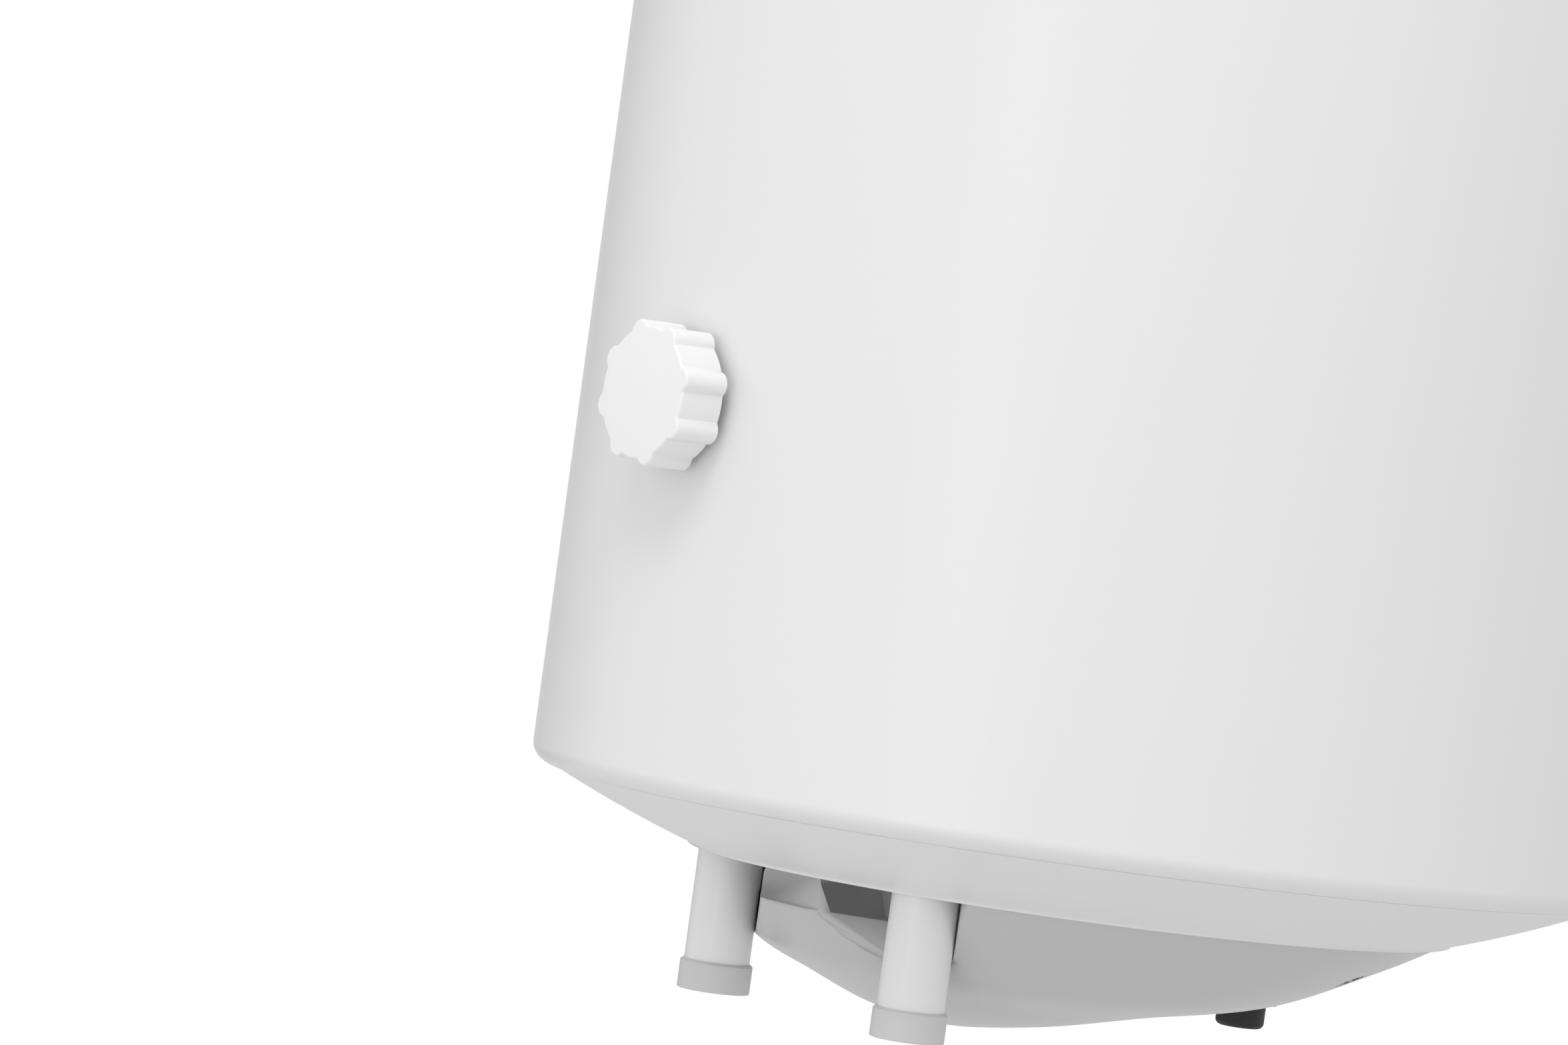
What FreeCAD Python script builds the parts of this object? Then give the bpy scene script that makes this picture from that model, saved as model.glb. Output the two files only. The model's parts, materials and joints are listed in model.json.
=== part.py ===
import FreeCAD, Part
import math
import os

# A slim 50 litre electric storage water heater that hangs on a wall, in millimetres.
# Everything is built about the shell's own axis, with z = 0 at the lower rim of the shell, and
# write() moves it to the hand-in frame: origin on the wall, at the centre of the upper bracket's slots,
# +Z up, the wall in the XZ plane, and the knob side towards -Y.

V = FreeCAD.Vector
UP = V(0, 0, 1)
FRONT = V(0, -1, 0)

# Shell, caps and hanging
SHELL_R = 353.0 / 2
SHELL_T = 0.8
RIM_ROLL = 6.5
RIM_R = SHELL_R - RIM_ROLL
BODY_H = 736.5
DISH_R = 392.2
CAP_T = 1.5
WELL_R = 122.0
WELL_FLOOR_Z = -7.3
FLANGE_OPENING_R = 62.0
WALL_GAP = 12.0
BRACKET_Z = 600.0
LOWER_BRACKET_Z = 110.0
SLOT_SPACING = 196.0
SLOT_R = 5.5
SLOT_LENGTH = 20.0

# Inner tank
TANK_R = 152.5
TANK_T = 1.8
TANK_Z0 = 58.0
TANK_Z1 = 675.0
HEAD_DEPTH = 46.0
KNUCKLE_R = 30.0
NECK_R = 46.0
NECK_T = 3.0

# Water connections: G 1/2 nipples
PIPE_R = 20.96 / 2
PIPE_BORE_R = 8.0
PIPE_X = 50.0
PIPE_Y = -98.7
PIPE_END_Z = -64.5
COLLAR_R = 23.2 / 2
COLLAR_H = 9.6
COLLAR_CHAMFER = 0.8
GROMMET_R = 14.0

# Element flange, with six M6 studs
FLANGE_R = 57.0
STUD_CIRCLE_R = 50.0
STUD_COUNT = 6
FLANGE_TOP_Z = -1.0
FLANGE_T = 3.0
FLANGE_UNDER_Z = FLANGE_TOP_Z - FLANGE_T
ELEMENT_X = 15.0
ELEMENT_Y = 20.0
WELL_POCKET = (-18.0, -16.0)
POCKET_OFFSET = 3.4
ANODE = (22.0, -18.0)
EARTH = (0.0, -38.0)

# Temperature knob and the regulator behind it
KNOB_Z = 121.3
KNOB_BACK_Y = -179.2
KNOB_FRONT_Y = -194.8
KNOB_LOBES = 8
LOBE_R = 4.0
LOBE_CENTRE_R = 18.8
KNOB_BODY_R = 20.5
KNOB_FIRST_LOBE_DEG = 16.3
SPINDLE_R = 3.0
SPINDLE_GAP = 0.05

# Electrical cover: depths below the pan's lip, how far each section's centre lies forward, radius
COVER_WALL = 2.5
COVER_SECTIONS = [(0.0, 0.0, 121.2), (11.0, 7.0, 106.6), (25.5, 18.0, 83.8), (33.8, 30.0, 55.5),
                  (40.5, 37.5, 32.5), (44.3, 42.5, 12.0)]
LEDGE_DEPTH = 11.0
TONGUE_TOP_HALF = 13.5
TONGUE_HALF_WIDTH = 18.0
TONGUE_FRONT_Y = -112.0
WAY_SLANT_DEG = 37.5
PIPE_CLEARANCE_R = 10.9
COVER_SCREW = (88.0, 45.0)
GLAND_Y = 80.0
GLAND_BORE_R = 4.5

# Edges of the caps, and the foam behind them
CAP_EDGE_R = 172.0
CAP_NECK_R = RIM_R - 0.4
CAP_EDGE_Z = 1.4
FOAM_GAP = 0.2
DUCT_Y = -96.0
DUCT_R = 7.0
DUCT_HALF = 9.0

# Water pieces inside the tank
COLD_TOP_Z = 40.0
HOT_TOP_Z = 34.0
DIFFUSER_GRIP = 8.0
DIFFUSER_OUT = 22.0
STANDPIPE_LOW_Z = 0.0
STANDPIPE_R = 9.0
STANDPIPE_BORE_R = 8.2
STANDPIPE_TOP_Z = TANK_Z1 + 18.0
GROMMET_TOP_Z = -3.8
GROMMET_FLANGE = 2.0

# On the element flange
NECK_FLANGE_Z = (2.0, 8.0)
M6_R = 3.0
M8_R = 4.0
NUT_AF = 10.0
M8_NUT_AF = 13.0
STUD_LOW_Z = -14.0
BUSHING_R = 6.0
BUSHING_TOP_Z = 6.0
BUSHING_LOW_Z = -10.0
ELEMENT_R = 4.0
ELEMENT_TOP_Z = 260.0
POCKET_R = 8.0
POCKET_BORE_R = 7.0
POCKET_TOP_Z = 180.0
ANODE_R = 10.5
ANODE_TOP_Z = 235.0
EARTH_R = 2.5
PIN_R = 1.6
TERMINAL_LOW_Z = -27.0
TAB_TOP_Z = -17.0
TAB_HALF = 3.15
TAB_T = 0.8

# Safety cut-out, terminal block and leads
CUTOUT_TOP_Z = -17.0
CUTOUT_LOW_Z = -36.0
CUTOUT_X = (-35.0, -1.0)
CUTOUT_Y = (-30.0, -2.0)
CUTOUT_FLOOR = 1.5
TAB_IN = 7.0
TAB_LENGTH = 8.0
BUTTON_R = 3.5
BUTTON_TRAVEL = 2.0
BUTTON_OUT = 3.0
BUTTON_COLLAR = 1.2
BUTTON_GAP = 0.08
ROD_R = 3.0
ROD_TOP_Z = 120.0
BULB_R = 3.0
BULB_Z0 = 24.0
BULB_Z1 = 104.0
BLOCK_HALF_X = 20.0
BLOCK_Y = (68.0, 88.0)
BLOCK_LOW_Z = -26.0
POLE_X = (-13.0, 0.0, 13.0)
SUPPLY_Z = -18.0
WIRE_R = 1.3
CAPILLARY_R = 0.8

# Regulator, its box in the foam, its nut, and the back of the knob
HOUSING_HALF = 22.0
HOUSING_BACK_Y = -(TANK_R + 1.3)
HOUSING_WALL = 1.2
REGULATOR_HALF = 18.0
REGULATOR_FRONT_Y = -173.0
REGULATOR_BACK_Y = -156.0
BUSH_R = 5.0
BUSH_FRONT_Y = -180.5
SPINDLE_FRONT_Y = -191.0
NUT_BACK_Y = -(SHELL_R + 0.1)
NUT_FRONT_Y = NUT_BACK_Y - 2.2
BUSH_NUT_AF = 14.0
KNOB_FACE_T = 2.6
KNOB_RECESS_R = 17.0
KNOB_HUB_R = 6.4
HUB_BACK_Y = -181.2
FLAT_DEPTH = 1.4
CLIP_HALF = 2.0
CLIP_T = 0.5
CLIP_FRONT_Y = -190.0

# Screws, bosses and gland of the cover
SCREW_R = 1.7
SCREW_TOP_Z = 4.0
SCREW_HEAD_R = 3.8
SCREW_HEAD_H = 2.4
SCREW_HEAD_Z = -22.0
CROSS_ARMS = ((2.2, 0.5), (0.5, 2.2))
BOSS_R = 6.5
GLAND_BOSS_R = 15.0
GLAND_BOSS_Z = -47.0
GLAND_BOSS_FLOOR = 3.0
GLAND_R = 8.0
GLAND_NUT_AF = 20.0
GLAND_FLANGE_H = 4.0
GLAND_BARREL_H = 9.0
GLAND_LOW_Z = -59.0
COVER_TOP_GAP = 0.3

# Studs, nuts and straps that hang the heater
HANGER_R = 4.0
HANGER_X = 25.0
HANGER_NUT_H = 6.5
HANGER_END_Y = SHELL_R + WALL_GAP - 2.0
WEB_T = 2.5
WEB_HALF = 42.0
EAR_START = 58.0
EAR_CORNER = 6.0
UPPER_EAR_END = 128.0
LOWER_EAR_END = 96.0
BRACKET_H = 60.0

# Frame
SHIFT = V(0, -(SHELL_R + WALL_GAP), -BRACKET_Z)


def write(name, shape):
    """Moves a finished piece to the hand-in frame and writes it as one node."""
    shape.translated(SHIFT).exportStep(f"parts/{name}.step")


def cylinder(r, z0, z1, x=0.0, y=0.0):
    return Part.makeCylinder(r, z1 - z0, V(x, y, z0))


def tube(r_out, r_in, z0, z1, x=0.0, y=0.0):
    return cylinder(r_out, z0, z1, x, y).cut(cylinder(r_in, z0, z1, x, y))


def front_cylinder(r, y0, y1, z):
    """A cylinder along the knob's axis, from y0 forward to y1."""
    return Part.makeCylinder(r, y0 - y1, V(0, y0, z), FRONT)


def block(x0, x1, y0, y1, z0, z1):
    return Part.makeBox(x1 - x0, y1 - y0, z1 - z0, V(x0, y0, z0))


def rounded_block(x0, x1, y0, y1, z0, z1, r):
    """A block whose four upright edges are rounded."""
    body = block(x0, x1, y0, y1, z0, z1)
    upright = [e for e in body.Edges if abs(e.tangentAt(e.FirstParameter).z) > 0.9]
    return body.makeFillet(r, upright)


def prism(points, direction):
    """A closed outline of points, extruded."""
    return Part.Face(Part.makePolygon(points + [points[0]])).extrude(direction)


def hexagon(across_flats, z0, z1, x, y):
    r = across_flats / 2 / math.cos(math.pi / 6)
    corners = [V(x + r * math.cos(k * math.pi / 3), y + r * math.sin(k * math.pi / 3), z0) for k in range(6)]
    return prism(corners, V(0, 0, z1 - z0))


def lathe(start, *steps):
    """Turns a closed outline in (r, z) about the axis. A step is a point, or a pair of points for an arc."""
    edges = []
    here = start
    for step in steps + (start,):
        is_arc = isinstance(step[0], tuple)
        end = step[1] if is_arc else step
        a, b = V(here[0], 0, here[1]), V(end[0], 0, end[1])
        if is_arc:
            edges.append(Part.Arc(a, V(step[0][0], 0, step[0][1]), b).toShape())
        elif a.distanceToPoint(b) > 1e-6:
            edges.append(Part.makeLine(a, b))
        here = end
    return Part.Face(Part.Wire(edges)).revolve(V(0, 0, 0), UP, 360)


def union(shapes):
    return shapes[0].multiFuse(shapes[1:]) if len(shapes) > 1 else shapes[0]


def ring_places(count, r, first_deg=0.0):
    angles = [math.radians(first_deg + 360.0 * k / count) for k in range(count)]
    return [(r * math.cos(a), r * math.sin(a)) for a in angles]


def lead_wire(points, limit=30.0):
    """The centreline of a lead: straight runs joined by tangent arcs as large as the runs allow."""
    places = [V(*p) for p in points]
    edges = []
    here = places[0]
    for before, corner, after in zip(places, places[1:], places[2:]):
        into = (before - corner).normalize()
        out = (after - corner).normalize()
        half = into.getAngle(out) / 2
        shorter = min(before.distanceToPoint(corner), after.distanceToPoint(corner))
        back = min(0.45 * shorter, limit / math.tan(half))
        radius = back * math.tan(half)
        middle = (into + out).normalize()
        start, end = corner + into * back, corner + out * back
        apex = corner + middle * (radius / math.sin(half) - radius)
        edges.append(Part.makeLine(here, start))
        edges.append(Part.Arc(start, apex, end).toShape())
        here = end
    edges.append(Part.makeLine(here, places[-1]))
    return Part.Wire(edges)


def lead(points, r, limit=30.0):
    """A round wire or capillary along its centreline."""
    path = lead_wire(points, limit)
    first = V(*points[0])
    section = Part.Wire(Part.makeCircle(r, first, V(*points[1]) - first))
    return path.makePipeShell([section], True, True)


def dish_z(r):
    """Height of the dished cap's outer surface under the rim plane, at radius r."""
    return math.sqrt(DISH_R ** 2 - RIM_R ** 2) - math.sqrt(DISH_R ** 2 - r ** 2)


LIP_Z = dish_z(WELL_R)
CROWN_Z = dish_z(0.0)


# ---- casing ----

def outer_shell():
    """Rolled sheet tube whose two edges are turned in over the caps, with a hole for the regulator."""
    corner = RIM_ROLL * math.sqrt(0.5)
    inner = RIM_ROLL - SHELL_T
    inner_corner = inner * math.sqrt(0.5)
    low, high = RIM_ROLL, BODY_H - RIM_ROLL
    body = lathe(
        (RIM_R, 0.0),
        ((RIM_R + corner, low - corner), (SHELL_R, low)),
        (SHELL_R, high),
        ((RIM_R + corner, high + corner), (RIM_R, BODY_H)),
        (RIM_R, BODY_H - SHELL_T),
        ((RIM_R + inner_corner, high + inner_corner), (SHELL_R - SHELL_T, high)),
        (SHELL_R - SHELL_T, low),
        ((RIM_R + inner_corner, low - inner_corner), (RIM_R, SHELL_T)),
    )
    regulator_hole = front_cylinder(BUSH_R + 0.3, -TANK_R, -SHELL_R - 5, KNOB_Z)
    hanger_holes = [hanger_cylinder(HANGER_R + 0.5, x, z) for x, z in hanger_places()]
    return body.cut(union([regulator_hole] + hanger_holes))


def bottom_pan():
    """Pressed cap: a dished ring that ends in a lip, and a recessed floor for the flange and pipes."""
    top_edge = CAP_EDGE_Z + CAP_T
    mid = (CAP_NECK_R + WELL_R) / 2
    wall_r = WELL_R + CAP_T
    body = lathe(
        (CAP_EDGE_R, CAP_EDGE_Z),
        (CAP_NECK_R, CAP_EDGE_Z),
        (CAP_NECK_R, dish_z(CAP_NECK_R)),
        ((mid, dish_z(mid)), (WELL_R, LIP_Z)),
        (WELL_R, WELL_FLOOR_Z),
        (FLANGE_OPENING_R, WELL_FLOOR_Z),
        (FLANGE_OPENING_R, WELL_FLOOR_Z + CAP_T),
        (wall_r, WELL_FLOOR_Z + CAP_T),
        (wall_r, dish_z(wall_r) + CAP_T),
        ((mid, dish_z(mid) + CAP_T), (CAP_NECK_R - CAP_T, dish_z(CAP_NECK_R - CAP_T) + CAP_T)),
        (CAP_NECK_R - CAP_T, top_edge),
        (CAP_EDGE_R, top_edge),
    )
    low, high = WELL_FLOOR_Z - 1, WELL_FLOOR_Z + CAP_T + 1
    holes = [cylinder(PIPE_R + 1.2, low, high, x, PIPE_Y) for x in (-PIPE_X, PIPE_X)]
    holes += [cylinder(SCREW_R, low, high, x, COVER_SCREW[1]) for x in (-COVER_SCREW[0], COVER_SCREW[0])]
    holes.append(cylinder(DUCT_R, low, high, 0, DUCT_Y))
    return body.cut(union(holes))


def top_cap():
    """Dished cap of the same pressing, closed across the crown."""
    mid = CAP_NECK_R / 2
    inner_r = CAP_NECK_R - CAP_T
    body = lathe(
        (CAP_EDGE_R, -CAP_EDGE_Z),
        (CAP_NECK_R, -CAP_EDGE_Z),
        (CAP_NECK_R, -dish_z(CAP_NECK_R)),
        ((mid, -dish_z(mid)), (0.0, -CROWN_Z)),
        (0.0, -CROWN_Z - CAP_T),
        ((mid, -dish_z(mid) - CAP_T), (inner_r, -dish_z(inner_r) - CAP_T)),
        (inner_r, -CAP_EDGE_Z - CAP_T),
        (CAP_EDGE_R, -CAP_EDGE_Z - CAP_T),
    )
    return body.translated(V(0, 0, BODY_H))


# ---- inner tank ----

def head_outline(r, depth, knuckle):
    """Arc points of a dished tank end, as (r, z) with z = 0 at the barrel and the crown at -depth."""
    k = r - knuckle
    crown = (k * k + depth * depth - knuckle * knuckle) / (2 * (depth - knuckle))
    centre_z = crown - depth
    turn = math.atan2(k, centre_z)
    joint = (crown * math.sin(turn), centre_z - crown * math.cos(turn))
    half_crown = (crown * math.sin(turn / 2), centre_z - crown * math.cos(turn / 2))
    half_knuckle_angle = (math.pi / 2 - turn) / 2
    half_knuckle = (k + knuckle * math.cos(half_knuckle_angle), -knuckle * math.sin(half_knuckle_angle))
    return half_knuckle, joint, half_crown


def head_z(r):
    """Height of the tank's lower end, outside, at radius r of its crown."""
    k = TANK_R - KNUCKLE_R
    crown = (k * k + HEAD_DEPTH ** 2 - KNUCKLE_R ** 2) / (2 * (HEAD_DEPTH - KNUCKLE_R))
    return TANK_Z0 + (crown - HEAD_DEPTH) - math.sqrt(crown ** 2 - r ** 2)


def head_solid(r, depth, knuckle):
    half_knuckle, joint, half_crown = head_outline(r, depth, knuckle)
    return lathe((r, 0.0), (half_knuckle, joint), (half_crown, (0.0, -depth)), (0.0, 0.0))


def tank_head():
    """A dished end, crown down, with its open edge at z = 0."""
    outer = head_solid(TANK_R, HEAD_DEPTH, KNUCKLE_R)
    inner = head_solid(TANK_R - TANK_T, HEAD_DEPTH - TANK_T, KNUCKLE_R - TANK_T)
    return outer.cut(inner)


def tank_bottom_head():
    holes = [cylinder(PIPE_R, 0, TANK_Z0, x, PIPE_Y) for x in (-PIPE_X, PIPE_X)]
    holes.append(cylinder(NECK_R, 0, TANK_Z0))
    return tank_head().translated(V(0, 0, TANK_Z0)).cut(union(holes))


def tank_top_head():
    turned = tank_head()
    turned.rotate(V(0, 0, 0), V(1, 0, 0), 180)
    return turned.translated(V(0, 0, TANK_Z1))


def tank_envelope():
    """The closed outside of the tank, as the foam meets it."""
    low = head_solid(TANK_R, HEAD_DEPTH, KNUCKLE_R)
    high = low.copy()
    high.rotate(V(0, 0, 0), V(1, 0, 0), 180)
    barrel = cylinder(TANK_R, TANK_Z0, TANK_Z1)
    return union([barrel, low.translated(V(0, 0, TANK_Z0)), high.translated(V(0, 0, TANK_Z1))])


def flange_neck():
    """The welded collar that the element flange bolts to."""
    neck_top = head_z(NECK_R - NECK_T) + TANK_T + 1.0
    low, high = NECK_FLANGE_Z
    ring = tube(FLANGE_R, NECK_R - NECK_T, low, high)
    return ring.fuse(tube(NECK_R, NECK_R - NECK_T, high, neck_top)).removeSplitter()


# ---- foam ----

def foam_insulation():
    """Foamed-in-place insulation: it fills what the shell, caps and tank leave, but not the ducts."""
    cap_in = CAP_T + FOAM_GAP
    step_r = CAP_NECK_R - CAP_T - FOAM_GAP
    step_z = CAP_EDGE_Z + CAP_T + FOAM_GAP
    side_r = SHELL_R - SHELL_T - FOAM_GAP
    side_z = step_z + 5.0
    well_r = WELL_R + CAP_T + FOAM_GAP
    floor_z = WELL_FLOOR_Z + CAP_T + FOAM_GAP
    mid = step_r / 2
    ring_mid = (step_r + well_r) / 2
    body = lathe(
        (0.0, BODY_H - CROWN_Z - cap_in),
        ((mid, BODY_H - dish_z(mid) - cap_in), (step_r, BODY_H - dish_z(step_r) - cap_in)),
        (step_r, BODY_H - step_z),
        (side_r, BODY_H - side_z),
        (side_r, side_z),
        (step_r, step_z),
        (step_r, dish_z(step_r) + cap_in),
        ((ring_mid, dish_z(ring_mid) + cap_in), (well_r, dish_z(well_r) + cap_in)),
        (well_r, floor_z),
        (0.0, floor_z),
    )
    gap_front, gap_back = -(SHELL_R - 4.5), -(TANK_R + 4.5)
    duct_outline = [
        (gap_front, KNOB_Z), (gap_back, KNOB_Z), (gap_back, 46.0), (gap_back + 13, 26.0), (DUCT_Y + 8, 6.0),
        (DUCT_Y + 8, floor_z - 1), (DUCT_Y - 8, floor_z - 1), (gap_front + 18, 8.0), (gap_front, 34.0),
    ]
    duct = prism([V(-DUCT_HALF, y, z) for y, z in duct_outline], V(2 * DUCT_HALF, 0, 0))
    cuts = [tank_envelope(), duct, cylinder(FLANGE_OPENING_R - 2, floor_z - 1, TANK_Z0)]
    screw_x, screw_y = COVER_SCREW
    for side in (-1, 1):
        cuts.append(cylinder(GROMMET_R + 0.3, floor_z - 1, GROMMET_TOP_Z + 0.3, side * PIPE_X, PIPE_Y))
        cuts.append(cylinder(PIPE_R + 0.1, floor_z - 1, TANK_Z0, side * PIPE_X, PIPE_Y))
        cuts.append(cylinder(SCREW_R + 1, floor_z - 1, SCREW_TOP_Z + 1, side * screw_x, screw_y))
    box = HOUSING_HALF + 0.3
    cuts.append(block(-box, box, -SHELL_R, HOUSING_BACK_Y + 0.3, KNOB_Z - box, KNOB_Z + box))
    cuts += [hanger_cylinder(HANGER_R + 0.2, x, z) for x, z in hanger_places()]
    return body.cut(union(cuts))


# ---- water connections ----

def nipple(x, z_top):
    return tube(PIPE_R, PIPE_BORE_R, PIPE_END_Z, z_top, x, PIPE_Y)


def cold_diffuser():
    """Plastic cap over the cold pipe, with slots that turn the incoming water sideways."""
    r = PIPE_R + 2.5
    low, high = COLD_TOP_Z - DIFFUSER_GRIP, COLD_TOP_Z + DIFFUSER_OUT
    body = cylinder(r, low, high, -PIPE_X, PIPE_Y)
    body = body.cut(cylinder(PIPE_R + 0.02, low, high - 2, -PIPE_X, PIPE_Y))
    slots = [block(-2.5, 2.5, 0, r + 2, COLD_TOP_Z + 4, COLD_TOP_Z + 16) for _ in range(4)]
    for k, slot in enumerate(slots):
        slot.rotate(V(0, 0, 0), UP, 90.0 * k + 45.0)
        slot.translate(V(-PIPE_X, PIPE_Y, 0))
    return body.cut(union(slots))


def hot_outlet_pipe():
    """The hot nipple, bored out at its upper end for the standpipe."""
    seat = cylinder(STANDPIPE_R + 0.02, STANDPIPE_LOW_Z, HOT_TOP_Z, PIPE_X, PIPE_Y)
    return nipple(PIPE_X, HOT_TOP_Z).cut(seat)


def hot_standpipe():
    """Stainless tube set in the hot nipple. It takes the water from under the top head."""
    return tube(STANDPIPE_R, STANDPIPE_BORE_R, STANDPIPE_LOW_Z, STANDPIPE_TOP_Z, PIPE_X, PIPE_Y)


def pipe_collar(x):
    """Plastic ring pressed on the pipe's end over its thread, chamfered at its upper edge."""
    top = PIPE_END_Z + COLLAR_H
    bore = PIPE_R + 0.02
    ring = lathe(
        (bore, PIPE_END_Z),
        (COLLAR_R, PIPE_END_Z),
        (COLLAR_R, top - COLLAR_CHAMFER),
        (bore + 0.3, top),
        (bore, top),
    )
    return ring.translated(V(x, PIPE_Y, 0))


def pipe_grommet(x):
    """Rubber grommet, grooved over the pan's floor."""
    bore, hole = PIPE_R + 0.02, PIPE_R + 1.2
    low, high = WELL_FLOOR_Z - GROMMET_FLANGE, GROMMET_TOP_Z
    ring = lathe(
        (bore, low),
        (GROMMET_R, low),
        (GROMMET_R, WELL_FLOOR_Z),
        (hole, WELL_FLOOR_Z),
        (hole, WELL_FLOOR_Z + CAP_T),
        (GROMMET_R, WELL_FLOOR_Z + CAP_T),
        (GROMMET_R, high),
        (bore, high),
    )
    beside_wall = cylinder(WELL_R - 0.1, low, WELL_FLOOR_Z + CAP_T)
    above_floor = cylinder(RIM_R, WELL_FLOOR_Z + CAP_T, high)
    return ring.translated(V(x, PIPE_Y, 0)).common(beside_wall.fuse(above_floor))


# ---- element flange ----

def stud_places():
    return ring_places(STUD_COUNT, STUD_CIRCLE_R)


def flange_studs():
    return Part.makeCompound([cylinder(M6_R, STUD_LOW_Z, NECK_FLANGE_Z[0], x, y) for x, y in stud_places()])


def flange_gasket():
    return tube(NECK_R, NECK_R - NECK_T - 4, FLANGE_TOP_Z, NECK_FLANGE_Z[0])


def flange_plate():
    """Round steel plate that carries the element, the sensor pocket and the anode."""
    low, high = FLANGE_UNDER_Z - 1, FLANGE_TOP_Z + 1
    holes = [cylinder(M6_R + 0.3, low, high, x, y) for x, y in stud_places()]
    holes += [cylinder(BUSHING_R, low, high, x, ELEMENT_Y) for x in (-ELEMENT_X, ELEMENT_X)]
    holes.append(cylinder(POCKET_R, low, high, *WELL_POCKET))
    holes.append(cylinder(M8_R + 0.2, low, high, *ANODE))
    holes.append(cylinder(EARTH_R, low, high, *EARTH))
    return cylinder(FLANGE_R, FLANGE_UNDER_Z, FLANGE_TOP_Z).cut(union(holes))


def flange_nuts():
    nuts = []
    for x, y in stud_places():
        nut = hexagon(NUT_AF, FLANGE_UNDER_Z - 5.0, FLANGE_UNDER_Z, x, y)
        nuts.append(nut.cut(cylinder(M6_R + 0.02, FLANGE_UNDER_Z - 6, FLANGE_UNDER_Z + 1, x, y)))
    return Part.makeCompound(nuts)


def element_bushings():
    """Brass bushings brazed on the sheath's ends."""
    bushes = []
    for x in (-ELEMENT_X, ELEMENT_X):
        body = cylinder(BUSHING_R, BUSHING_LOW_Z, BUSHING_TOP_Z, x, ELEMENT_Y)
        bushes.append(body.cut(cylinder(ELEMENT_R + 0.02, BUSHING_LOW_Z, BUSHING_TOP_Z, x, ELEMENT_Y)))
    return Part.makeCompound(bushes)


def heating_element():
    """Sheathed hairpin: two legs and a half-turn at the top."""
    legs = [cylinder(ELEMENT_R, BUSHING_LOW_Z, ELEMENT_TOP_Z, x, ELEMENT_Y) for x in (-ELEMENT_X, ELEMENT_X)]
    turn = Part.makeTorus(ELEMENT_X, ELEMENT_R, V(0, ELEMENT_Y, ELEMENT_TOP_Z), V(0, 1, 0))
    upper = turn.common(block(-40, 40, ELEMENT_Y - 10, ELEMENT_Y + 10, ELEMENT_TOP_Z, ELEMENT_TOP_Z + 40))
    return union(legs + [upper]).removeSplitter()


def element_terminals():
    """A cold pin and a flat tab on each end of the element."""
    pieces = []
    for x in (-ELEMENT_X, ELEMENT_X):
        pin = cylinder(PIN_R, TAB_TOP_Z, BUSHING_LOW_Z, x, ELEMENT_Y)
        tab = block(x - TAB_HALF, x + TAB_HALF, ELEMENT_Y - TAB_T / 2, ELEMENT_Y + TAB_T / 2,
                    TERMINAL_LOW_Z, TAB_TOP_Z)
        pieces.append(pin.fuse(tab))
    return Part.makeCompound(pieces)


def sensor_pocket():
    """Closed tube that keeps the two sensors dry inside the tank."""
    low = FLANGE_UNDER_Z - 2
    body = cylinder(POCKET_R, low, POCKET_TOP_Z, *WELL_POCKET)
    return body.cut(cylinder(POCKET_BORE_R, low, POCKET_TOP_Z - 1.0, *WELL_POCKET))


def anode_rod():
    """Magnesium rod cast on a threaded steel core, drawn as one piece."""
    rod = cylinder(ANODE_R, FLANGE_TOP_Z + 3, ANODE_TOP_Z, *ANODE)
    rod = rod.makeChamfer(2.0, [e for e in rod.Edges if e.BoundBox.ZMin > ANODE_TOP_Z - 1])
    return rod.fuse(cylinder(M8_R, FLANGE_UNDER_Z - 10, FLANGE_TOP_Z + 3, *ANODE))


def anode_nut():
    nut = hexagon(M8_NUT_AF, FLANGE_UNDER_Z - 6.5, FLANGE_UNDER_Z, *ANODE)
    return nut.cut(cylinder(M8_R + 0.02, FLANGE_UNDER_Z - 7, FLANGE_UNDER_Z + 1, *ANODE))


def earth_screw():
    """Earth stud with its washer and nut."""
    stud = cylinder(EARTH_R, FLANGE_UNDER_Z - 12, FLANGE_TOP_Z, *EARTH)
    washer = cylinder(5.0, FLANGE_UNDER_Z - 1, FLANGE_UNDER_Z, *EARTH)
    return union([stud, washer, hexagon(8.0, FLANGE_UNDER_Z - 5, FLANGE_UNDER_Z - 1, *EARTH)])


# ---- safety cut-out and wiring ----

def button_place():
    return sum(CUTOUT_X) / 2, sum(CUTOUT_Y) / 2


def thermal_cutout():
    """Manual-reset safety switch: a moulded body, and a rod that reaches up into the sensor pocket."""
    x, y = button_place()
    body = rounded_block(*CUTOUT_X, *CUTOUT_Y, CUTOUT_LOW_Z, CUTOUT_TOP_Z, 2.0)
    rod = cylinder(ROD_R, CUTOUT_TOP_Z, ROD_TOP_Z, WELL_POCKET[0] + POCKET_OFFSET, WELL_POCKET[1])
    collar_room = BUTTON_R + BUTTON_COLLAR + 0.3
    bore = cylinder(BUTTON_R + BUTTON_GAP, CUTOUT_LOW_Z - 1, CUTOUT_LOW_Z + 3, x, y)
    floor_z = CUTOUT_LOW_Z + CUTOUT_FLOOR
    room = cylinder(collar_room, floor_z, floor_z + BUTTON_COLLAR + BUTTON_TRAVEL + 1.0, x, y)
    return body.fuse(rod).cut(bore.fuse(room))


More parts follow.
